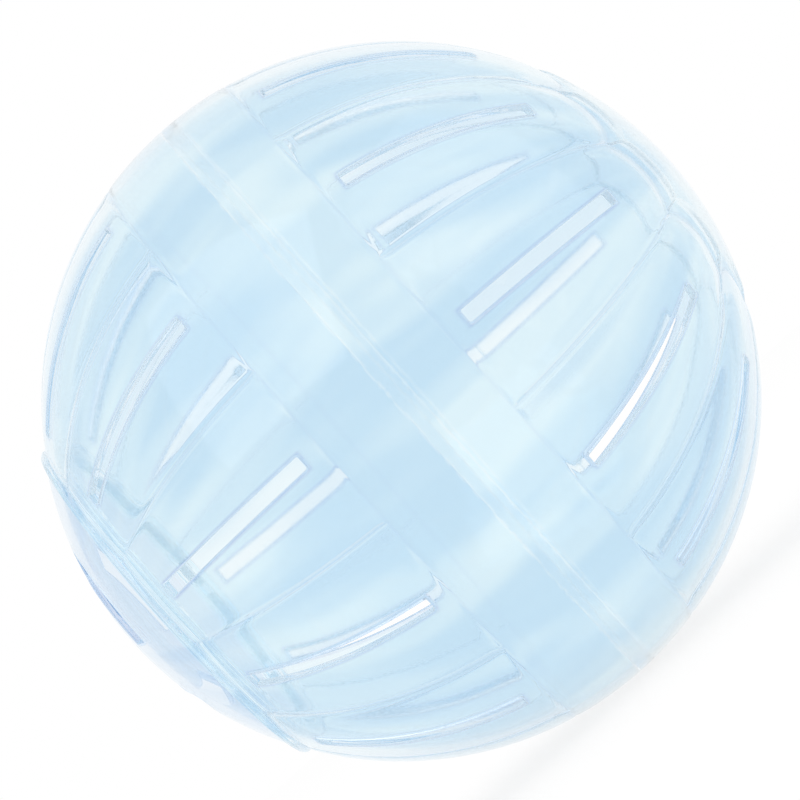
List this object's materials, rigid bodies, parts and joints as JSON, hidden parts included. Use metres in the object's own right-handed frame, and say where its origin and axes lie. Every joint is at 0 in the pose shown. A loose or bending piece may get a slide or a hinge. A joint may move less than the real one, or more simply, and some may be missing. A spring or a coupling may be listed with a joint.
{
  "type": "hamster exercise ball",
  "caption": "Clear hollow ball in two hemispheres with long air slots down its panels, and a round push-in door with slots at one pole.",
  "frame": {"origin": "centre of the ball", "axes": "+X along the polar axis, out of the closed pole, with the door facing -X; an air slot of each half faces +Z, and another -Y"},
  "size_m": [0.12, 0.12, 0.12],
  "materials": {
    "closed_half_shell": "clear pale blue polystyrene, polished mould",
    "door_half_shell": "clear pale blue polystyrene, polished mould",
    "door_shell": "clear pale blue polystyrene, polished mould"
  },
  "bodies": {
    "door_half": {"door_half": "door_half_shell"},
    "closed_half": {"closed_half": "closed_half_shell"},
    "door": {"door": "door_shell"}
  },
  "joints": [
    {"name": "door_pull_off", "type": "slide", "parent": "door_half", "child": "door", "axis": [-1, 0, 0], "range_m": [0, 0.06]},
    {"name": "halves_pull_apart", "type": "slide", "parent": "door_half", "child": "closed_half", "axis": [1, 0, 0], "range_m": [0, 0.06]}
  ]
}
